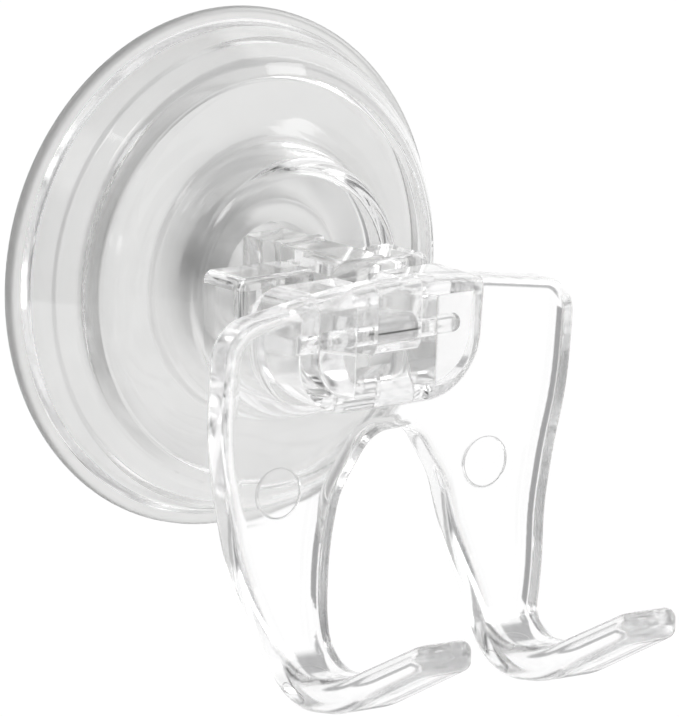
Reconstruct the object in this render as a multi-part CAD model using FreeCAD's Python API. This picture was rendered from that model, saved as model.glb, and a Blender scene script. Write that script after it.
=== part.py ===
# Clear suction cup hook with a lever lock: a soft cup, a hard bell over it, a stem with a cross pin,
# and a double hook whose cam pulls the stem out when the prongs are pressed down.
import FreeCAD, Part
import math
import os
from FreeCAD import Vector

# Frame: the wall is the plane Y = 0 and the front of the hook faces -Y, with +Z up and X = 0 the
# plane of symmetry. The origin is the cup's axis on the wall. "Reach" means distance from the wall.

# Fits and clearances
PIN_CLEARANCE = 0.06
SLIDE_CLEARANCE = 0.4
CAM_CLEARANCE = 0.5
FLOAT_CLEARANCE = 0.5
OVERRUN = 1.0                 # how far a cutting solid runs past the face it cuts
PICK = 0.01                   # how far an edge may lie from a plane and still be picked as on it

# Soft cup
CUP_RADIUS = 42.5
RIM_THICKNESS = 2.5
RIM_ROUND = 1.1
LAND_INNER_RADIUS = 35.0
LAND_BLEND = 3.0
MEMBRANE = 2.2
CAVITY_DEPTH = 3.4
CAVITY_FLAT_RADIUS = 11.0
CAVITY_BLEND = 20.0
SEAT_INNER_RADIUS = 36.6
WEB_RISE = 0.6
WEB_BLEND = 8.0
WEB_COLLAR = 4.0
CUP_BOSS_RADIUS = 13.2
CUP_BOSS_ROUND = 1.2

# Bell: the skirt, its two shoulders, the ring-shaped recess and the central boss
BELL_RADIUS = 40.6
SKIRT_TOP_RADIUS = 38.5
SKIRT_TOP_REACH = 7.9
SKIRT_TOP_ROUND = 0.8
SHOULDER_RADIUS = 35.4
SHOULDER_REACH = 12.2
SHOULDER_ROUND = 3.0
LIP_RADIUS = 33.0
LIP_REACH = 13.8
LIP_STEP = 0.9
LIP_ROUND = 0.3
RECESS_RADIUS = 27.5
RECESS_REACH = 11.6
RECESS_ROUND = 14.0
BOSS_FOOT_RADIUS = 22.6
BOSS_FOOT_REACH = 13.6
BOSS_FOOT_ROUND = 1.6
BOSS_RADIUS = 20.4
BOSS_REACH = 22.9
BOSS_ROUND = 2.4
BOSS_CROWN = 1.6
BELL_WALL = 2.4

# Turret on the bell, which takes the thrust of the cam
TURRET_HALF_WIDTH = 19.0
TURRET_TOP = 5.0
TURRET_TOP_CORNER = 1.5
TURRET_CORNER = 12.0
TURRET_EDGE_ROUND = 1.0
TURRET_SKIRT_GAP = 1.1

# Stem and pin
STEM_WIDTH = 8.0
STEM_TOP = 7.5
STEM_BAR_REACH = 40.5
STEM_NECK_RADIUS = 3.0
STEM_EDGE_ROUND = 0.8
STEM_TRAVEL = 3.3
FOOT_RADIUS = 9.0
FOOT_THICKNESS = 3.0
PIN_REACH = 45.5
PIN_DROP = 3.0
PIN_RADIUS = 1.6
PIN_LENGTH = 27.0
PIN_END_ROUND = 1.0

# Cam hub: a round lobe whose centre lies back from the pin and below it by the same amount
CAM_RADIUS = 10.6
CAM_OFFSET = 1.75
CAM_LAND_DEPTH = 0.15
HUB_HALF_WIDTH = 18.0
HUB_TOP = 4.6
HUB_TOP_CORNER = 3.0
HUB_CORNER = 10.0
HUB_WALL = 2.4
CHEEK_THICKNESS = 3.6

# Hook plate and prongs, seen from the side, along the middle of the thickness
PLATE_THICKNESS = 6.8
PLATE_SETOUT = 3.9            # from the pin out to the top of the plate
PLATE_TOP = 7.1
PLATE_LEAN = 3.8              # from the top of the plate back to the waist
WAIST_TOP = -25.0
WAIST_TOP_ROUND = 60.0
WAIST_BOTTOM = -37.0
WAIST_BOTTOM_ROUND = 36.0
BEND_SETOUT = 6.2             # from the waist out to the bend
BEND_HEIGHT = -58.3
BEND_ROUND = 10.4
PRONG_THICKNESS = 5.4
PRONG_RISE = 4.6
PRONG_LENGTH = 15.2
LIFT_RISE = 24.8
LIFT_ROUND = 28.0
LIFT_LENGTH = 21.5
TIP_CURVE_ROUND = 16.0
TIP_RISE = 14.0
TIP_LENGTH = 4.2
TIP_THICKNESS = 4.8
EDGE_ROUND = 1.8

# Hook plate seen from the front
CROWN_ROUND = 110.0
CROWN_LIMIT = 0.6             # the most of the top edge's slope that the crown's arc may take
PLATE_HALF_WIDTH = 34.7
PLATE_CORNER_DROP = 5.5
PLATE_CORNER_ROUND = 6.5
FLANK_INSET = 0.1             # from the plate's corner in to its flank, then to the knee and the ankle
FLANK_HEIGHT = -16.0
KNEE_INSET = 5.4
KNEE_HEIGHT = -44.0
FLANK_ROUND = 60.0
ANKLE_INSET = 3.4
PRONG_WIDTH = 10.6
PRONG_START = 9.5             # from the bend out to where only the prongs go on
ANKLE_HEIGHT = -53.0
ANKLE_ROUND = 7.0
ARCH_TOP = -19.1
ARCH_CREST_SHARE = 0.28289    # half the crest's width, as a share of half the gap between the prongs
ARCH_CREST_ROUND = 6.0
ARCH_CREST_FULLNESS = 1.4     # the most that the crest's corners may be rounded, in half crest widths
ARCH_SHOULDER_SHARE = 0.68421 # the same at the shoulders
ARCH_SHOULDER_HEIGHT = -28.5
ARCH_SHOULDER_ROUND = 14.0
ARCH_FOOT_HEIGHT = -48.0
ARCH_FOOT_ROUND = 30.0

# Witness marks of the mould's ejector pins on the back of the plate
MARK_RADIUS = 4.3
MARK_DEPTH = 0.25
MARK_SETOUT = 0.1             # from the middle of a prong's width out to the mark above it
MARK_HEIGHT = -27.5

# Values that follow from the ones above
FLANK_HALF_WIDTH = PLATE_HALF_WIDTH - FLANK_INSET
KNEE_HALF_WIDTH = FLANK_HALF_WIDTH - KNEE_INSET
PRONG_OUTER = KNEE_HALF_WIDTH - ANKLE_INSET
PRONG_INNER = PRONG_OUTER - PRONG_WIDTH
ARCH_SHOULDER_HALF_WIDTH = PRONG_INNER * ARCH_SHOULDER_SHARE
ARCH_CREST_HALF_WIDTH = PRONG_INNER * ARCH_CREST_SHARE
PLATE_TOP_REACH = PIN_REACH + PLATE_SETOUT
WAIST_REACH = PLATE_TOP_REACH - PLATE_LEAN
BEND_REACH = WAIST_REACH + BEND_SETOUT
LIFT_REACH = BEND_REACH + PRONG_LENGTH
TIP_CURVE_REACH = LIFT_REACH + LIFT_LENGTH
TIP_REACH = TIP_CURVE_REACH + TIP_LENGTH
CAM_BACK = CAM_OFFSET + CAM_RADIUS - CAM_LAND_DEPTH
HUB_BACK_REACH = PIN_REACH - CAM_BACK
TURRET_REACH = HUB_BACK_REACH - CAM_CLEARANCE
CAM_BOTTOM = -PIN_DROP - CAM_OFFSET - CAM_RADIUS
TURRET_BOTTOM = CAM_BOTTOM - TURRET_SKIRT_GAP
STEM_BOTTOM = -PIN_DROP - STEM_NECK_RADIUS
FOOT_BACK = CAVITY_DEPTH + MEMBRANE + FLOAT_CLEARANCE + STEM_TRAVEL
BOSS_INSIDE_REACH = BOSS_REACH - BELL_WALL
CROWN_SLOPE = math.atan2(PLATE_CORNER_DROP, PLATE_HALF_WIDTH)
CROWN_ARC = min(CROWN_ROUND, CROWN_LIMIT * PLATE_HALF_WIDTH / math.sin(CROWN_SLOPE))
PLATE_CREST = PLATE_TOP - CROWN_ARC * (1 / math.cos(CROWN_SLOPE) - 1)
PLATE_FRONT_AT_TOP = PLATE_TOP_REACH + PLATE_THICKNESS / 2
PLATE_SWING = math.hypot(PLATE_FRONT_AT_TOP - PIN_REACH, PLATE_CREST + PIN_DROP)
PRONG_END_ROUND = PRONG_WIDTH / 2
MARK_HALF_SPACING = (PRONG_OUTER + PRONG_INNER) / 2 + MARK_SETOUT
LOWEST = BEND_HEIGHT - PLATE_THICKNESS
SIDEWAYS = Vector(1, 0, 0)
OUTWARD = Vector(0, -1, 0)


def side(reach, height):
    """A point on the plane of symmetry."""
    return Vector(0, -reach, height)


def front(x, height):
    """A point on the wall plane."""
    return Vector(x, 0, height)


def plan(x, reach):
    """A point at the height of the cup's axis."""
    return Vector(x, -reach, 0)


def rounded_wire(corners, place):
    """A closed wire of straight lines through (u, v, radius) corners, each corner an arc."""
    count = len(corners)
    pieces = []
    for i in range(count):
        u, v, radius = corners[i]
        following = corners[(i + 1) % count]
        before = Vector(corners[i - 1][0] - u, corners[i - 1][1] - v, 0).normalize()
        after = Vector(following[0] - u, following[1] - v, 0).normalize()
        angle = before.getAngle(after)
        if radius <= 0:
            pieces.append((Vector(u, v, 0),))
            continue
        tangent = radius / math.tan(angle / 2)
        bisector = (before + after).normalize()
        start = Vector(u, v, 0) + before * tangent
        middle = Vector(u, v, 0) + bisector * (radius / math.sin(angle / 2) - radius)
        end = Vector(u, v, 0) + after * tangent
        pieces.append((start, middle, end))
    edges = []
    for i in range(count):
        placed = [place(p.x, p.y) for p in pieces[i]]
        if len(placed) == 3:
            edges.append(Part.Arc(*placed).toShape())
        next_start = pieces[(i + 1) % count][0]
        next_placed = place(next_start.x, next_start.y)
        if not placed[-1].isEqual(next_placed, 1e-6):
            edges.append(Part.LineSegment(placed[-1], next_placed).toShape())
    return Part.Wire(edges)


def rounded_face(corners, place):
    return Part.Face(rounded_wire(corners, place))


def turned(corners):
    """A solid of revolution about the cup's axis, from (radius, reach, corner radius) corners."""
    return rounded_face(corners, plan).revolve(Vector(0, 0, 0), Vector(0, 1, 0), 360)


def along_y(corners, reach_back, reach_front):
    """A prism with a front outline, between two distances from the wall."""
    prism = rounded_face(corners, front).extrude(OUTWARD * (reach_front - reach_back))
    prism.translate(OUTWARD * reach_back)
    return prism


def along_x(corners, half_width):
    """A prism with a side outline, as wide to the left of the plane of symmetry as to the right."""
    prism = rounded_face(corners, side).extrude(SIDEWAYS * (2 * half_width))
    prism.translate(SIDEWAYS * -half_width)
    return prism


def block(half_width, reach_back, reach_front, bottom, top):
    """A box centred on the plane of symmetry."""
    corner = Vector(-half_width, -reach_front, bottom)
    return Part.makeBox(2 * half_width, reach_front - reach_back, top - bottom, corner)


def u_outline(half_width, bottom, top, top_corner, bottom_corner):
    """A plain top and a bottom with two large round corners."""
    return [(-half_width, top, top_corner), (half_width, top, top_corner),
            (half_width, bottom, bottom_corner), (-half_width, bottom, bottom_corner)]


def mirrored(right_side):
    """Corners of a symmetrical outline, from those of its right side."""
    left_side = [(-u, v, radius) for u, v, radius in reversed(right_side) if u != 0]
    return right_side + left_side


def offset_line(points, distances, direction):
    """The corners of a bent line moved sideways by a distance that may change along it."""
    moved = []
    last = len(points) - 1
    for i, point in enumerate(points):
        into = (points[max(i, 1)] - points[max(i, 1) - 1]).normalize()
        out = (points[min(i, last - 1) + 1] - points[min(i, last - 1)]).normalize()
        bisector = Vector(-into.y - out.y, into.x + out.x, 0).normalize()
        stretch = 1 / math.cos(into.getAngle(out) / 2)
        moved.append(point + bisector * (direction * distances[i] * stretch))
    return moved


def edges_at_reach(shape, reach):
    """The edges that lie in the plane at this distance from the wall."""
    return [edge for edge in shape.Edges if edge.BoundBox.YMax < PICK - reach]


def round_edges(shape):
    """The edges that are closed circles."""
    return [edge for edge in shape.Edges if edge.Closed and len(edge.Vertexes) == 1]


def sharp_edges(shape, least_angle=25.0):
    """The edges where two faces meet at more than a small angle."""
    found = []
    for edge in shape.Edges:
        faces = shape.ancestorsOfType(edge, Part.Face)
        if len(faces) != 2:
            continue
        middle = edge.valueAt((edge.FirstParameter + edge.LastParameter) / 2)
        normals = [face.normalAt(*face.Surface.parameter(middle)) for face in faces]
        if math.degrees(normals[0].getAngle(normals[1])) > least_angle:
            found.append(edge)
    return found


# Soft cup

def suction_cup():
    """The cup with its sealing land, the shallow cavity behind and the pocket for the stem's foot."""
    web_front = CAVITY_DEPTH + MEMBRANE
    pocket_front = FOOT_BACK + FOOT_THICKNESS + FLOAT_CLEARANCE
    boss_front = pocket_front + MEMBRANE
    cup = turned([
        (0, CAVITY_DEPTH, 0),
        (CAVITY_FLAT_RADIUS, CAVITY_DEPTH, CAVITY_BLEND),
        (LAND_INNER_RADIUS, 0, LAND_BLEND),
        (CUP_RADIUS, 0, RIM_ROUND),
        (CUP_RADIUS, RIM_THICKNESS, RIM_ROUND),
        (SEAT_INNER_RADIUS, RIM_THICKNESS, 0),
        (CUP_BOSS_RADIUS + WEB_COLLAR, web_front + WEB_RISE, WEB_BLEND),
        (CUP_BOSS_RADIUS, boss_front, CUP_BOSS_ROUND),
        (0, boss_front, 0),
    ])
    pocket_depth = pocket_front - web_front
    pocket = Part.makeCylinder(FOOT_RADIUS + FLOAT_CLEARANCE, pocket_depth, side(web_front, 0), OUTWARD)
    mouth = block(STEM_WIDTH / 2 + FLOAT_CLEARANCE, web_front, boss_front + OVERRUN,
                  STEM_BOTTOM - FLOAT_CLEARANCE, STEM_TOP + FLOAT_CLEARANCE)
    return cup.cut([pocket, mouth])


# Hard bell

def bell_outer():
    return turned([
        (0, RIM_THICKNESS, 0),
        (BELL_RADIUS, RIM_THICKNESS, 0),
        (SKIRT_TOP_RADIUS, SKIRT_TOP_REACH, SKIRT_TOP_ROUND),
        (SHOULDER_RADIUS, SHOULDER_REACH, SHOULDER_ROUND),
        (LIP_RADIUS, LIP_REACH, LIP_ROUND),
        (LIP_RADIUS - LIP_STEP, LIP_REACH - LIP_STEP, LIP_ROUND),
        (RECESS_RADIUS, RECESS_REACH, RECESS_ROUND),
        (BOSS_FOOT_RADIUS, BOSS_FOOT_REACH, BOSS_FOOT_ROUND),
        (BOSS_RADIUS, BOSS_REACH, BOSS_ROUND),
        (0, BOSS_REACH + BOSS_CROWN, 0),
    ])


def bell_inner():
    """The hollow of the bell: the outer profile without its lip, moved in by the wall."""
    outer = [
        (BELL_RADIUS, RIM_THICKNESS, 0),
        (SKIRT_TOP_RADIUS, SKIRT_TOP_REACH, SKIRT_TOP_ROUND),
        (SHOULDER_RADIUS, SHOULDER_REACH, SHOULDER_ROUND / 2),
        (RECESS_RADIUS, RECESS_REACH, RECESS_ROUND),
        (BOSS_FOOT_RADIUS, BOSS_FOOT_REACH, BOSS_FOOT_ROUND),
        (BOSS_RADIUS, BOSS_REACH, BOSS_ROUND / 2),
        (0, BOSS_REACH + BOSS_CROWN, 0),
    ]
    points = [Vector(radius, reach, 0) for radius, reach, rounding in outer]
    moved = offset_line(points, [BELL_WALL] * len(points), 1)
    roundings = [rounding for radius, reach, rounding in outer]
    inner = [(point.x, point.y, rounding) for point, rounding in zip(moved, roundings)]
    mouth_reach = RIM_THICKNESS - OVERRUN
    inner[0] = (inner[0][0], mouth_reach, 0)
    inner[-1] = (0, inner[-1][1], 0)
    return turned([(0, mouth_reach, 0)] + inner)


def dome_cover():
    """The bell with its turret, hollow behind, and the slotted sleeve that guides the stem."""
    turret = along_y(
        u_outline(TURRET_HALF_WIDTH, TURRET_BOTTOM, TURRET_TOP, TURRET_TOP_CORNER, TURRET_CORNER),
        BOSS_INSIDE_REACH, TURRET_REACH)
    turret = turret.makeFillet(TURRET_EDGE_ROUND, edges_at_reach(turret, TURRET_REACH))
    body = bell_outer().fuse(turret).removeSplitter()
    hollow_back = BOSS_INSIDE_REACH - OVERRUN
    turret_hollow = along_y(
        u_outline(TURRET_HALF_WIDTH - BELL_WALL, TURRET_BOTTOM + BELL_WALL, TURRET_TOP - BELL_WALL,
                  0, TURRET_CORNER - BELL_WALL),
        hollow_back, TURRET_REACH - BELL_WALL)
    body = body.cut([bell_inner(), turret_hollow])
    half_slot = STEM_WIDTH / 2 + SLIDE_CLEARANCE
    slot_bottom = STEM_BOTTOM - SLIDE_CLEARANCE
    sleeve = block(half_slot + BELL_WALL, hollow_back, TURRET_REACH - BELL_WALL / 2,
                   slot_bottom - BELL_WALL, TURRET_TOP - BELL_WALL / 2)
    slot = block(half_slot, 0, TURRET_REACH + OVERRUN, slot_bottom, STEM_TOP + SLIDE_CLEARANCE)
    return body.fuse(sleeve).removeSplitter().cut(slot)


# Stem and pin

def pin_cylinder(radius, x_start, x_end):
    return Part.makeCylinder(radius, x_end - x_start, Vector(x_start, -PIN_REACH, -PIN_DROP), SIDEWAYS)


def stem():
    """A flat bar from the foot in the cup to a round eye for the pin, hollowed clear of the swing."""
    half_width = STEM_WIDTH / 2
    foot = Part.makeCylinder(FOOT_RADIUS, FOOT_THICKNESS, side(FOOT_BACK, 0), OUTWARD)
    foot = foot.makeFillet(STEM_EDGE_ROUND, round_edges(foot))
    bar_back = FOOT_BACK + FOOT_THICKNESS / 2
    bar = block(half_width, bar_back, STEM_BAR_REACH, STEM_BOTTOM, STEM_TOP)
    swing = pin_cylinder(PLATE_SWING, -half_width - OVERRUN, half_width + OVERRUN)
    eye_reach = PIN_REACH + STEM_NECK_RADIUS
    neck_top = -PIN_DROP + STEM_NECK_RADIUS
    neck = along_x([(bar_back, STEM_BOTTOM, 0),
                    (eye_reach, STEM_BOTTOM, STEM_NECK_RADIUS - PICK),
                    (eye_reach, neck_top, STEM_NECK_RADIUS - PICK),
                    (bar_back, neck_top, 0)], half_width)
    hole = pin_cylinder(PIN_RADIUS, -half_width - OVERRUN, half_width + OVERRUN)
    return foot.fuse([bar.cut(swing), neck]).removeSplitter().cut(hole)


def pivot_pin():
    pin = pin_cylinder(PIN_RADIUS, -PIN_LENGTH / 2, PIN_LENGTH / 2)
    return pin.makeFillet(PIN_END_ROUND, round_edges(pin))


# Hook

def hook_side_outline():
    """The hook's section: the plate leans in to a waist, bends forward and rises to the tip."""
    lift_height = BEND_HEIGHT + PRONG_LENGTH * math.tan(math.radians(PRONG_RISE))
    curve_height = lift_height + LIFT_LENGTH * math.tan(math.radians(LIFT_RISE))
    tip_height = curve_height + TIP_LENGTH * math.tan(math.radians(TIP_RISE))
    plate = PLATE_THICKNESS / 2
    prong = PRONG_THICKNESS / 2
    tip = TIP_THICKNESS / 2
    # reach and height of the middle line, half the thickness, radius at the front and at the back
    line = [
        (PLATE_TOP_REACH, PLATE_TOP, plate, 0, 0),
        (WAIST_REACH, WAIST_TOP, plate, WAIST_TOP_ROUND, WAIST_TOP_ROUND),
        (WAIST_REACH, WAIST_BOTTOM, plate, WAIST_BOTTOM_ROUND, WAIST_BOTTOM_ROUND),
        (BEND_REACH, BEND_HEIGHT, (plate + prong) / 2, BEND_ROUND - prong, BEND_ROUND + prong),
        (LIFT_REACH, lift_height, prong, LIFT_ROUND, LIFT_ROUND),
        (TIP_CURVE_REACH, curve_height, (prong + tip) / 2, TIP_CURVE_ROUND, TIP_CURVE_ROUND),
        (TIP_REACH, tip_height, tip, 0, 0),
    ]
    points = [Vector(reach, height, 0) for reach, height, half, at_front, at_back in line]
    halves = [row[2] for row in line]
    front_side = [(p.x, p.y, row[3]) for p, row in zip(offset_line(points, halves, 1), line)]
    back_side = [(p.x, p.y, row[4]) for p, row in zip(offset_line(points, halves, -1), line)]
    return front_side + back_side[::-1]


def plate_front_outline():
    return mirrored([
        (0, PLATE_TOP, CROWN_ARC),
        (PLATE_HALF_WIDTH, PLATE_TOP - PLATE_CORNER_DROP, PLATE_CORNER_ROUND),
        (FLANK_HALF_WIDTH, FLANK_HEIGHT, FLANK_ROUND),
        (KNEE_HALF_WIDTH, KNEE_HEIGHT, FLANK_ROUND),
        (PRONG_OUTER, ANKLE_HEIGHT, ANKLE_ROUND),
        (PRONG_OUTER, LOWEST, 0),
    ])


def arch_outline():
    crest_round = min(ARCH_CREST_ROUND, ARCH_CREST_HALF_WIDTH * ARCH_CREST_FULLNESS)
    return mirrored([
        (PRONG_INNER, LOWEST - OVERRUN, 0),
        (PRONG_INNER, ARCH_FOOT_HEIGHT, ARCH_FOOT_ROUND),
        (ARCH_SHOULDER_HALF_WIDTH, ARCH_SHOULDER_HEIGHT, ARCH_SHOULDER_ROUND),
        (ARCH_CREST_HALF_WIDTH, ARCH_TOP, crest_round),
    ])


def plan_limits():
    """What the hook may fill seen from above: the plate, then two prongs with round ends."""
    split = BEND_REACH + PRONG_START
    top = PLATE_TOP + OVERRUN
    limits = block(PLATE_HALF_WIDTH + OVERRUN, 0, split, LOWEST - OVERRUN, top)
    for sign in (-1, 1):
        outline = [
            (sign * PRONG_INNER, split - OVERRUN, 0),
            (sign * PRONG_OUTER, split - OVERRUN, 0),
            (sign * PRONG_OUTER, TIP_REACH, PRONG_END_ROUND),
            (sign * PRONG_INNER, TIP_REACH, PRONG_END_ROUND),
        ]
        prong = rounded_face(outline, plan).extrude(Vector(0, 0, top - LOWEST + OVERRUN))
        prong.translate(Vector(0, 0, LOWEST - OVERRUN))
        limits = limits.fuse(prong)
    return limits.removeSplitter()


def hook_plate():
    """The plate and both prongs in one curved piece, with rounded edges all round."""
    furthest = TIP_REACH + PLATE_THICKNESS
    sheet = along_x(hook_side_outline(), PLATE_HALF_WIDTH + OVERRUN)
    shape = sheet.common(along_y(plate_front_outline(), 0, furthest))
    shape = shape.cut(along_y(arch_outline(), 0, furthest))
    shape = shape.common(plan_limits()).removeSplitter()
    return shape.makeFillet(EDGE_ROUND, sharp_edges(shape))


def hub():
    """The cam: a round lobe with a flat land, trimmed to a U seen from the front."""
    start = Vector(-HUB_HALF_WIDTH, CAM_OFFSET - PIN_REACH, -PIN_DROP - CAM_OFFSET)
    drum = Part.makeCylinder(CAM_RADIUS, 2 * HUB_HALF_WIDTH, start, SIDEWAYS)
    outline = u_outline(HUB_HALF_WIDTH, CAM_BOTTOM, HUB_TOP, HUB_TOP_CORNER, HUB_CORNER)
    return drum.common(along_y(outline, HUB_BACK_REACH, PLATE_TOP_REACH))


def hub_cuts():
    """The slot for the stem, the bore for the pin and two pockets that even out the walls."""
    half_slot = STEM_WIDTH / 2 + SLIDE_CLEARANCE
    above = PLATE_TOP + OVERRUN
    back = HUB_BACK_REACH - OVERRUN
    slot_front = PIN_REACH + STEM_NECK_RADIUS + SLIDE_CLEARANCE
    slot_floor = STEM_BOTTOM - SLIDE_CLEARANCE
    slot = along_x([(back, slot_floor, 0), (slot_front, slot_floor, STEM_NECK_RADIUS),
                    (slot_front, above, 0), (back, above, 0)], half_slot)
    pocket_inner = half_slot + CHEEK_THICKNESS
    pocket_outer = HUB_HALF_WIDTH - HUB_WALL
    bore = pin_cylinder(PIN_RADIUS + PIN_CLEARANCE, -HUB_HALF_WIDTH - OVERRUN, pocket_outer)
    pocket_front = PIN_REACH + PIN_RADIUS + SLIDE_CLEARANCE
    pocket_corner = min(HUB_CORNER - HUB_WALL, pocket_outer - pocket_inner - SLIDE_CLEARANCE)
    cuts = [slot, bore]
    for sign in (-1, 1):
        outline = [
            (sign * pocket_inner, HUB_TOP - HUB_WALL, 0),
            (sign * pocket_outer, HUB_TOP - HUB_WALL, 0),
            (sign * pocket_outer, CAM_BOTTOM + HUB_WALL, pocket_corner),
            (sign * pocket_inner, CAM_BOTTOM + HUB_WALL, 0),
        ]
        cuts.append(along_y(outline, back, pocket_front))
    return cuts


def ejector_marks():
    """Two shallow round dips in the back of the plate, at the waist."""
    back = WAIST_REACH - PLATE_THICKNESS / 2
    marks = []
    for x in (-MARK_HALF_SPACING, MARK_HALF_SPACING):
        start = Vector(x, OVERRUN - back, MARK_HEIGHT)
        marks.append(Part.makeCylinder(MARK_RADIUS, MARK_DEPTH + OVERRUN, start, OUTWARD))
    return marks


def hook():
    body = hook_plate().fuse(hub()).removeSplitter()
    return body.cut(hub_cuts() + ejector_marks())


pieces = {
    "suction_cup": suction_cup(),
    "dome_cover": dome_cover(),
    "stem": stem(),
    "pivot_pin": pivot_pin(),
    "hook": hook(),
}

os.makedirs("parts", exist_ok=True)
for name, shape in pieces.items():
    solid = shape.Solids[0]
    print(name, "solids", len(shape.Solids), "volume", round(solid.Volume, 1), "valid", solid.isValid())
    solid.exportStep("parts/" + name + ".step")
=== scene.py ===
# %% [markdown]
# # A clear suction cup hook, dressed for a studio photograph
# The solids of the hook come packed as meshes, and this lesson gives them their looks in Blender.
# The object is all clear plastic on white, which is a lesson in light: clear plastic has hardly a colour
# of its own, so nearly everything the eye sees is the room, bent and mirrored.

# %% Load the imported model
import math
import bmesh
import bpy
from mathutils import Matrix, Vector


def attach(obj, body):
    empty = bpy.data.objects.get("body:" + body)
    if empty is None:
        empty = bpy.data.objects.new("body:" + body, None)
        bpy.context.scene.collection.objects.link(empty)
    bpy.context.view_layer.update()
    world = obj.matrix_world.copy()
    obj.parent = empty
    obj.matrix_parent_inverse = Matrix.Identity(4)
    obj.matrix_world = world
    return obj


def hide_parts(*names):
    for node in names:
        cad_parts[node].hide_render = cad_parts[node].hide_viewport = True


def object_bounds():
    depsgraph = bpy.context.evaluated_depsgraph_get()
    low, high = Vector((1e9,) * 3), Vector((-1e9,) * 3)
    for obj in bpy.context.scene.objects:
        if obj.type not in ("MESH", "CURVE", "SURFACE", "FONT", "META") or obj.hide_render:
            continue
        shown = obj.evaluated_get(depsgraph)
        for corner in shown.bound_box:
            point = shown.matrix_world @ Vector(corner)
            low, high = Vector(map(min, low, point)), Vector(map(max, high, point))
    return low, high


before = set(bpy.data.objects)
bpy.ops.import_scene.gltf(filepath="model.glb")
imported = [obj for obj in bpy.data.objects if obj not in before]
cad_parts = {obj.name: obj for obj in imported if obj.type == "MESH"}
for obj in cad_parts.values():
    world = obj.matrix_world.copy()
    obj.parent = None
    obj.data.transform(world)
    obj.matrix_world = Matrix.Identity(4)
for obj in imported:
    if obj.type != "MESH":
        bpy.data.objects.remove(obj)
cad_low, cad_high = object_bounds()
MM = 0.001
print("nodes", sorted(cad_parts))
print("size in mm", [round((high - low) / MM, 1) for low, high in zip(cad_low, cad_high)])

# %% [markdown]
# ## Two small helpers
# Colours are given as sRGB hex values, while shaders work with linear light, so one function
# turns the one into the other. The second helper adds a shader node with its settings and its links in
# one line, which keeps the materials short enough to read.

# %% Colour and node helpers
def linear(hex_colour):
    channels = [int(hex_colour[i:i + 2], 16) / 255 for i in (1, 3, 5)]
    return [c / 12.92 if c <= 0.04045 else ((c + 0.055) / 1.055) ** 2.4 for c in channels] + [1.0]


WHITE = linear("#FFFFFF")


def add_node(tree, kind, inputs=None, **settings):
    """Adds a node. A value in inputs is either a plain value or the output socket of another node."""
    node = tree.nodes.new(kind)
    for name, value in settings.items():
        setattr(node, name, value)
    for key, value in (inputs or {}).items():
        if isinstance(value, bpy.types.NodeSocket):
            tree.links.new(value, node.inputs[key])
        else:
            node.inputs[key].default_value = value
    return node


def new_material(name):
    material = bpy.data.materials.new(name)
    material.use_nodes = True
    material.node_tree.nodes.clear()
    return material, material.node_tree


print("mid grey #808080 is", round(linear("#808080")[0], 3), "in linear light")

# %% [markdown]
# ## Clear moulded plastic
# The hook, the bell, the stem and the pin are injection-moulded in a clear rigid plastic such as acrylic
# or polystyrene. Its IOR is about 1.49, and light loses a little on its way through. The mould is
# polished, but not as glass is, so the roughness is low and keeps the lines soft. What tells moulded
# plastic from glass most is its slight waviness: the melt cools unevenly, so the faces sink by a few
# hundredths of a millimetre over a centimetre or so. That is a low bump with waves of 9 to 12 mm, and it
# makes the refracted lines swim as in the real thing. Loss of light could go into the base colour, but
# that would dim each inner reflection too, so absorption does it.
#
# The hook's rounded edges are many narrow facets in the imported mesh, and clear plastic shows each as a
# streak. A Bevel node takes the mean direction of the surface within half a millimetre, which smooths
# them away. On the bell it would draw dark lines at the sharp inner edges, so its radius is 0 there.

# %% The clear plastic
ACRYLIC_IOR = 1.49
POLISHED = 0.06
WAVE_DEPTH_MM = 0.02
GRIP_MM = 4
SOFTEN_SAMPLES = 4


def clear_plastic(name, tint, wave_mm, density, soften_mm):
    material, tree = new_material(name)
    place = add_node(tree, "ShaderNodeTexCoord")
    waves = add_node(tree, "ShaderNodeTexNoise",
                     {"Vector": place.outputs["Object"], "Scale": 1 / (wave_mm * MM), "Detail": 1.5})
    soft = add_node(tree, "ShaderNodeBevel", {"Radius": soften_mm * MM}, samples=SOFTEN_SAMPLES)
    bump = add_node(tree, "ShaderNodeBump",
                    {"Height": waves.outputs["Fac"], "Distance": WAVE_DEPTH_MM * MM, "Strength": 1.0,
                     "Normal": soft.outputs["Normal"]})
    grip = add_node(tree, "ShaderNodeTexNoise",
                    {"Vector": place.outputs["Object"], "Scale": 1 / (GRIP_MM * MM), "Detail": 3.0})
    polish = add_node(tree, "ShaderNodeMapRange",
                      {"Value": grip.outputs["Fac"], "To Min": POLISHED * 0.5, "To Max": POLISHED * 1.5})
    plastic = add_node(tree, "ShaderNodeBsdfPrincipled",
                       {"Base Color": linear(tint), "IOR": ACRYLIC_IOR, "Transmission Weight": 1.0,
                        "Roughness": polish.outputs["Result"], "Normal": bump.outputs["Normal"]})
    depth = add_node(tree, "ShaderNodeVolumeAbsorption", {"Color": linear("#E8E8E8"), "Density": density})
    add_node(tree, "ShaderNodeOutputMaterial",
             {"Surface": plastic.outputs["BSDF"], "Volume": depth.outputs["Volume"]})
    return material


hook_plastic = clear_plastic("clear acrylic, hook", "#FFFFFF", wave_mm=9, density=4.5, soften_mm=0.5)
bell_plastic = clear_plastic("clear acrylic, bell", "#FCFCFC", wave_mm=12, density=8.0, soften_mm=0.0)
for node in ("hook", "stem", "pivot_pin"):
    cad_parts[node].data.materials[0] = hook_plastic
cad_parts["dome_cover"].data.materials[0] = bell_plastic
print("clear plastic on hook, stem, pin and bell")

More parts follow.
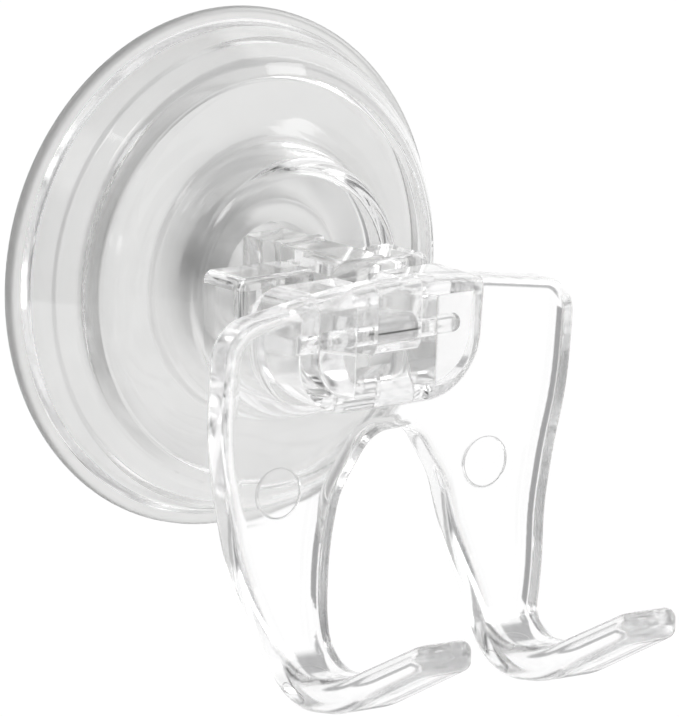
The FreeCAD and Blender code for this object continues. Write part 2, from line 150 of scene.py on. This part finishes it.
# %% [markdown]
# ## The soft cup
# The cup is soft vinyl, pressed between a matt mould and a polished one. It is clear with a faint milky
# haze, which softens all that is seen through it. Its form is turned, so the mesh is a profile spun
# round the axis: 160 steps keep the rim smooth when it is seen against white.

# %% Spin a profile round the cup's axis
SPIN_STEPS = 160


def spun(name, profile, steps=SPIN_STEPS):
    """profile: (radius, distance from the wall) in mm, closed by itself; the axis runs out along -Y."""
    mesh = bpy.data.meshes.new(name)
    shape = bmesh.new()
    rings = []
    for radius, reach in profile:
        if radius == 0:
            rings.append([shape.verts.new((0, -reach * MM, 0))] * steps)
            continue
        turn = [2 * math.pi * i / steps for i in range(steps)]
        rings.append([shape.verts.new((radius * MM * math.cos(t), -reach * MM, radius * MM * math.sin(t)))
                      for t in turn])
    for ring, following in zip(rings, rings[1:]):
        for i in range(steps):
            j = (i + 1) % steps
            corners = []
            for corner in (ring[i], ring[j], following[j], following[i]):
                if corner not in corners:
                    corners.append(corner)
            shape.faces.new(corners)
    bmesh.ops.recalc_face_normals(shape, faces=shape.faces)
    for face in shape.faces:
        face.smooth = True
    shape.to_mesh(mesh)
    shape.free()
    piece = bpy.data.objects.new(name, mesh)
    bpy.context.scene.collection.objects.link(piece)
    return piece


print("a profile is spun in", SPIN_STEPS, "steps of", 360 / SPIN_STEPS, "degrees")

# %% [markdown]
# ## The cup's profile
# The long curves of the cup need only a few measured points. A Catmull-Rom curve passes through each of
# them, so the measured sizes stay exact, and the rim and the pocket for the stem's foot are drawn point
# by point.

# %% A smooth line through a few points
CURVE_STEPS = 6


def eased(points, steps=CURVE_STEPS):
    """A smooth line through the points: a Catmull-Rom curve with a few steps between each pair."""
    line = []
    for i in range(len(points) - 1):
        before = Vector(points[max(i - 1, 0)])
        start, end = Vector(points[i]), Vector(points[i + 1])
        after = Vector(points[min(i + 2, len(points) - 1)])
        for k in range(steps):
            t = k / steps
            line.append(0.5 * (2 * start + (end - before) * t
                               + (2 * before - 5 * start + 4 * end - after) * t ** 2
                               + (3 * start - before - 3 * end + after) * t ** 3))
    return [tuple(p) for p in line] + [tuple(points[-1])]


print("each pair of points gets", CURVE_STEPS, "steps")

# %% The cup
# From the axis out along the wall side, round the rim, and back in along the side under the bell
back_of_cup = eased([(0, 3.4), (6, 3.38), (12, 3.2), (20, 2.1), (28, 0.95), (33, 0.28), (36, 0.02)])
land_and_rim = [(41.3, 0.0), (41.9, 0.12), (42.3, 0.45), (42.5, 1.0), (42.45, 1.7), (42.1, 2.2),
                (41.6, 2.36), (41.2, 2.38)]
front_of_cup = eased([(36.6, 2.38), (30, 3.5), (24, 5.3), (18.5, 8.2), (15.4, 11.0), (13.8, 13.4),
                      (13.2, 14.6)])
pocket = [(12.2, 15.05), (9.6, 15.05), (9.5, 14.4), (9.5, 5.65), (0, 5.65)]
cup = spun("soft_cup", back_of_cup + land_and_rim + front_of_cup + pocket)
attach(cup, "base")
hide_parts("suction_cup")
print("cup mesh has", len(cup.data.polygons), "faces")

# %% [markdown]
# ## Soft vinyl
# Plasticised vinyl has an IOR of about 1.53. The matt side of its mould leaves a fine roughness that
# blurs what lies behind, a little more in some places than in others, and it is clouded enough to take
# some light away. A mix with white diffuse paint would look milky too, but it goes nearly black under
# the clear bell, so roughness, a faint tint and absorption make the haze.

# %% The soft vinyl
VINYL_IOR = 1.53
HAZE_MM = 7


def soft_vinyl(name):
    material, tree = new_material(name)
    place = add_node(tree, "ShaderNodeTexCoord")
    haze = add_node(tree, "ShaderNodeTexNoise",
                    {"Vector": place.outputs["Object"], "Scale": 1 / (HAZE_MM * MM), "Detail": 2.0})
    matt = add_node(tree, "ShaderNodeMapRange",
                    {"Value": haze.outputs["Fac"], "To Min": 0.28, "To Max": 0.4})
    vinyl = add_node(tree, "ShaderNodeBsdfPrincipled",
                     {"Base Color": linear("#F6F6F5"), "IOR": VINYL_IOR, "Transmission Weight": 1.0,
                      "Roughness": matt.outputs["Result"]})
    depth = add_node(tree, "ShaderNodeVolumeAbsorption", {"Color": linear("#E0E0E0"), "Density": 10.0})
    add_node(tree, "ShaderNodeOutputMaterial",
             {"Surface": vinyl.outputs["BSDF"], "Volume": depth.outputs["Volume"]})
    return material


cup.data.materials.append(soft_vinyl("soft clear vinyl"))
print("vinyl on the cup")

# %% [markdown]
# ## Witness lines
# Pins push the warm hook out of its mould, and each leaves a fine circle where its edge met the plastic.
# Two larger circles lie at the back of the plate and two smaller ones in the bends. A bump in the
# material could draw them, but a fine line in geometry stays crisp when it is seen through the plate.
# So each is a bead 0.12 mm thick, with each of its points laid on the nearest point of the hook's own
# surface, so that it follows the curve. The plastic is the hook's, a little clouded.

# %% Circles left by the ejector pins
BEAD_RADIUS_MM = 0.06
PLATE_MARK_RADIUS_MM = 4.3
BEND_MARK_RADIUS_MM = 2.6
GRAIN_MM = 1.5


def clouded_plastic(name):
    material, tree = new_material(name)
    place = add_node(tree, "ShaderNodeTexCoord")
    grain = add_node(tree, "ShaderNodeTexNoise",
                     {"Vector": place.outputs["Object"], "Scale": 1 / (GRAIN_MM * MM), "Detail": 2.0})
    cloud = add_node(tree, "ShaderNodeMapRange",
                     {"Value": grain.outputs["Fac"], "To Min": 0.3, "To Max": 0.5})
    plastic = add_node(tree, "ShaderNodeBsdfPrincipled",
                       {"Base Color": linear("#ECECEC"), "IOR": ACRYLIC_IOR, "Transmission Weight": 0.9,
                        "Roughness": cloud.outputs["Result"]})
    add_node(tree, "ShaderNodeOutputMaterial", {"Surface": plastic.outputs["BSDF"]})
    return material


def witness_line(name, centre, radius, steps=64):
    """A fine circle on the hook's surface round the point of it that is nearest to centre, in mm."""
    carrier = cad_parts["hook"]
    found, middle, normal, face = carrier.closest_point_on_mesh(Vector(centre) * MM)
    across = normal.orthogonal().normalized()
    up = normal.cross(across)
    line = bpy.data.curves.new(name, "CURVE")
    line.dimensions = "3D"
    line.bevel_depth = BEAD_RADIUS_MM * MM
    spline = line.splines.new("POLY")
    spline.points.add(steps - 1)
    spline.use_cyclic_u = True
    for i in range(steps):
        turn = 2 * math.pi * i / steps
        point = middle + radius * MM * (math.cos(turn) * across + math.sin(turn) * up)
        found, point, facing, face = carrier.closest_point_on_mesh(point)
        spline.points[i].co = (*point, 1)
    circle = bpy.data.objects.new(name, line)
    bpy.context.scene.collection.objects.link(circle)
    line.materials.append(clouded)
    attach(circle, "lever")
    print(name, "at", [round(c / MM, 1) for c in middle])


clouded = clouded_plastic("clouded acrylic, witness lines")
for side, x in (("left", -20.9), ("right", 20.9)):
    witness_line("plate_mark_" + side, (x, -25, -27.5), PLATE_MARK_RADIUS_MM)
    witness_line("bend_mark_" + side, (x * 0.98, -52, -60), BEND_MARK_RADIUS_MM)

# %% [markdown]
# ## The room
# A clear object shows its room. The photograph's room is plain white, and so is the world here: white at
# strength 1, for the camera, for reflections and for what is seen through the plastic. A plain white
# room would make the hook vanish, though. A photographer cures that with flags: grey cards just out of
# the picture. Where a rounded edge bends the light far enough, the eye meets a card, and that draws the
# thin grey line which tells clear plastic from air.

# %% The white world
world = bpy.data.worlds.new("white studio")
bpy.context.scene.world = world
world.use_nodes = True
world.node_tree.nodes.clear()
sky = add_node(world.node_tree, "ShaderNodeBackground", {"Color": WHITE, "Strength": 1.0})
add_node(world.node_tree, "ShaderNodeOutputWorld", {"Surface": sky.outputs["Background"]})
print("white world")

# %% [markdown]
# ## The flags
# The standing cards leave white gaps at every quarter and half quarter of the circle, so that a camera
# at those angles, or where the photograph's stood, looks through the hook at white and sees grey along
# its edges only. The darkest stand on the left and draw the thin lines. A card high on the left is what
# the inner walls of the arch mirror: in the photograph they are an even grey. A dark ceiling shades the
# prongs' tips, and two low strips near the floor draw the line along the plate's top edge and shade the
# bends. The cards thin out to gauze at their borders, so that they shade softly and draw no outlines of
# their own. Only reflections and rays through the plastic meet them: the camera looks past them, and
# they cast no shade.

# %% Felt that thins out to gauze
HOOK_MIDDLE = Vector((0, -45, -15)) * MM
FADE_SHARE = 0.16
DARK_FLECK = (0.8, 0.8, 0.82)
PALE_FLECK = (1.2, 1.2, 1.2)


def felt_paint(name, grey):
    material, tree = new_material(name)
    place = add_node(tree, "ShaderNodeTexCoord")
    felt = add_node(tree, "ShaderNodeTexNoise",
                    {"Vector": place.outputs["Object"], "Scale": 6.0, "Detail": 2.0})
    shade = add_node(tree, "ShaderNodeMix", {"Factor": felt.outputs["Fac"]}, data_type="RGBA")
    for socket, fleck in (("A", DARK_FLECK), ("B", PALE_FLECK)):
        shade.inputs[socket].default_value = [c * share for c, share in zip(linear(grey), fleck)] + [1.0]
    card = add_node(tree, "ShaderNodeBsdfDiffuse", {"Color": shade.outputs["Result"]})
    gauze = add_node(tree, "ShaderNodeBsdfTransparent", {"Color": WHITE})
    sides = add_node(tree, "ShaderNodeSeparateXYZ", {"Vector": place.outputs["Generated"]})
    ways = []
    for axis in ("X", "Y"):
        off = add_node(tree, "ShaderNodeMath", {0: sides.outputs[axis], 1: 0.5}, operation="SUBTRACT")
        ways.append(add_node(tree, "ShaderNodeMath", {0: off.outputs["Value"]}, operation="ABSOLUTE"))
    rim = add_node(tree, "ShaderNodeMath",
                   {0: ways[0].outputs["Value"], 1: ways[1].outputs["Value"]}, operation="MAXIMUM")
    fade = add_node(tree, "ShaderNodeMapRange",
                    {"Value": rim.outputs["Value"], "From Min": 0.5 - FADE_SHARE, "From Max": 0.5,
                     "To Min": 0.0, "To Max": 1.0}, interpolation_type="SMOOTHSTEP")
    both = add_node(tree, "ShaderNodeMixShader",
                    {0: fade.outputs["Result"], 1: card.outputs["BSDF"], 2: gauze.outputs["BSDF"]})
    add_node(tree, "ShaderNodeOutputMaterial", {"Surface": both.outputs["Shader"]})
    return material


print("felt fades out over", FADE_SHARE, "of a card's width")

# %% Grey cards round the hook
def flag(name, place, width, height, material):
    """A card of this width and height in mm, with its face towards the middle of the hook."""
    mesh = bpy.data.meshes.new(name)
    w, h = width * MM / 2, height * MM / 2
    mesh.from_pydata([(-w, -h, 0), (w, -h, 0), (w, h, 0), (-w, h, 0)], [], [(0, 1, 2, 3)])
    mesh.materials.append(material)
    card = bpy.data.objects.new(name, mesh)
    card.location = HOOK_MIDDLE + Vector(place) * MM
    card.rotation_mode = "QUATERNION"
    card.rotation_quaternion = Vector(place).to_track_quat("-Z", "Y")
    card.visible_camera = False
    card.visible_shadow = False
    card.visible_diffuse = False
    bpy.context.scene.collection.objects.link(card)


def standing_card(name, azimuth, distance, rise, width, height, grey):
    """azimuth in degrees: 0 is behind the hook and -90 is to its left. Lengths in mm."""
    turn = math.radians(azimuth)
    place = (distance * math.sin(turn), distance * math.cos(turn), rise)
    flag(name, place, width, height, felt_paint(name + " felt", grey))


# azimuth, distance, rise, width, height, grey
standing_card("back_card", 18, 1600, 0, 640, 2600, "#9E9E9E")
standing_card("back_left_card", -22.5, 1600, 0, 1150, 2600, "#9E9E9E")
standing_card("left_card", -67.5, 1600, 0, 1150, 2200, "#505050")
standing_card("left_front_card", -112.5, 1600, 0, 1150, 1500, "#616161")
standing_card("front_left_card", -158, 1600, 0, 800, 1500, "#898989")
standing_card("front_right_card", 164, 1600, 0, 420, 1500, "#A0A0A0")
standing_card("right_card", 112.5, 1600, 0, 800, 900, "#898989")
standing_card("high_card", -112, 1400, 1100, 1700, 1600, "#9E9E9E")
standing_card("low_back_card", 45, 650, -300, 800, 150, "#AAAAAA")
standing_card("low_front_card", -152, 500, -285, 500, 170, "#898989")
flag("ceiling_card", (0, 0, 1300), 2000, 2000, felt_paint("ceiling felt", "#616161"))
print("eleven cards")

# %% [markdown]
# ## Floor
# The hook hangs on a wall in use, so the floor lies well below it. It is pale paint that takes the
# hook's shadow, lifted by a share of plain white glow for the camera, reflections and rays through the
# plastic, so that it melts into the white world.

# %% The floor
GLOW_SHARE = 0.75
GLOW_STRENGTH = 1.05


def floor_material():
    material, tree = new_material("pale floor")
    path = add_node(tree, "ShaderNodeLightPath")
    paint = add_node(tree, "ShaderNodeBsdfDiffuse", {"Color": linear("#F2F2F2")})
    white = add_node(tree, "ShaderNodeEmission", {"Color": WHITE, "Strength": GLOW_STRENGTH})
    seen = add_node(tree, "ShaderNodeMath",
                    {0: path.outputs["Is Camera Ray"], 1: path.outputs["Is Glossy Ray"]},
                    operation="MAXIMUM")
    either = add_node(tree, "ShaderNodeMath",
                      {0: seen.outputs["Value"], 1: path.outputs["Is Transmission Ray"]},
                      operation="MAXIMUM")
    share = add_node(tree, "ShaderNodeMath",
                     {0: either.outputs["Value"], 1: GLOW_SHARE}, operation="MULTIPLY")
    both = add_node(tree, "ShaderNodeMixShader",
                    {0: share.outputs["Value"], 1: paint.outputs["BSDF"], 2: white.outputs["Emission"]})
    add_node(tree, "ShaderNodeOutputMaterial", {"Surface": both.outputs["Shader"]})
    return material


FLOOR_DROP_MM = 300
FLOOR_HALF_MM = 3000
half = FLOOR_HALF_MM * MM
level = cad_low.z - FLOOR_DROP_MM * MM
sheet = bpy.data.meshes.new("floor")
sheet.from_pydata([(-half, -half, level), (half, -half, level), (half, half, level), (-half, half, level)],
                  [], [(0, 1, 2, 3)])
floor = bpy.data.objects.new("floor", sheet)
bpy.context.scene.collection.objects.link(floor)
floor.data.materials.append(floor_material())
print("floor at", round(level / MM), "mm")

# %% [markdown]
# ## Lamps
# The white room lights the hook from all round, which leaves it without highlights. Two soft boxes add
# them along the top edges: a large one above and to the left, and a smaller one to the right. Both are
# weak, so that they lift nothing to a flat white. Places and sizes are in metres, powers in watts.

# %% Soft boxes
def soft_box(name, place, size, power):
    lamp = bpy.data.lights.new(name, "AREA")
    lamp.shape = "RECTANGLE"
    lamp.size, lamp.size_y = size
    lamp.energy = power
    holder = bpy.data.objects.new(name, lamp)
    holder.location = place
    holder.rotation_mode = "QUATERNION"
    holder.rotation_quaternion = (HOOK_MIDDLE - Vector(place)).to_track_quat("-Z", "Y")
    bpy.context.scene.collection.objects.link(holder)


soft_box("upper left soft box", (-0.5, -0.6, 0.9), (0.5, 0.35), 3.0)
soft_box("right soft box", (0.8, -0.5, 0.5), (0.25, 0.5), 1.5)
print("two soft boxes")

# %% [markdown]
# ## Camera
# The photograph was taken with a long lens from the left and a little above. The two ellipses of the
# cup gave the direction: 36.8 degrees to the left of straight on, and 11.7 degrees above the horizon.
# A long lens far away keeps the picture almost free of perspective, as the photograph is.

# %% The camera
PIXELS_PER_MM = 6.235
IMAGE_HEIGHT = 717
DISTANCE_MM = 4000
azimuth, elevation = math.radians(-36.8), math.radians(11.7)
towards = Vector((math.sin(azimuth) * math.cos(elevation), -math.cos(azimuth) * math.cos(elevation),
                  math.sin(elevation)))
VIEW_CENTRE = Vector((-8.325, -45.0, -7.148)) * MM
lens = bpy.data.cameras.new("camera")
lens.sensor_width = 36.0
lens.lens = lens.sensor_width * DISTANCE_MM / (IMAGE_HEIGHT / PIXELS_PER_MM)
lens.clip_start, lens.clip_end = 0.1, 50.0
camera = bpy.data.objects.new("camera", lens)
camera.location = VIEW_CENTRE + towards * DISTANCE_MM * MM
camera.rotation_mode = "QUATERNION"
camera.rotation_quaternion = (-towards).to_track_quat("-Z", "Y")
bpy.context.scene.collection.objects.link(camera)
bpy.context.scene.camera = camera
bpy.context.scene.view_settings.view_transform = "Standard"
print("lens", round(lens.lens), "mm")

# %% [markdown]
# ## Light paths
# A ray that looks through the hook crosses up to twenty faces, and inside a rounded edge it is reflected
# many times before it gets out. Blender gives up a ray as black after four reflections unless it is told
# otherwise, and clear plastic then gets black edges that the real thing doesn't have. So the limits for
# reflections, for rays through the plastic, and for both together are raised.

# %% Bounces
DEEPEST_PATH = 64
cycles = bpy.context.scene.cycles
cycles.max_bounces = DEEPEST_PATH
cycles.transmission_bounces = DEEPEST_PATH
cycles.glossy_bounces = DEEPEST_PATH
print("up to", DEEPEST_PATH, "bounces")
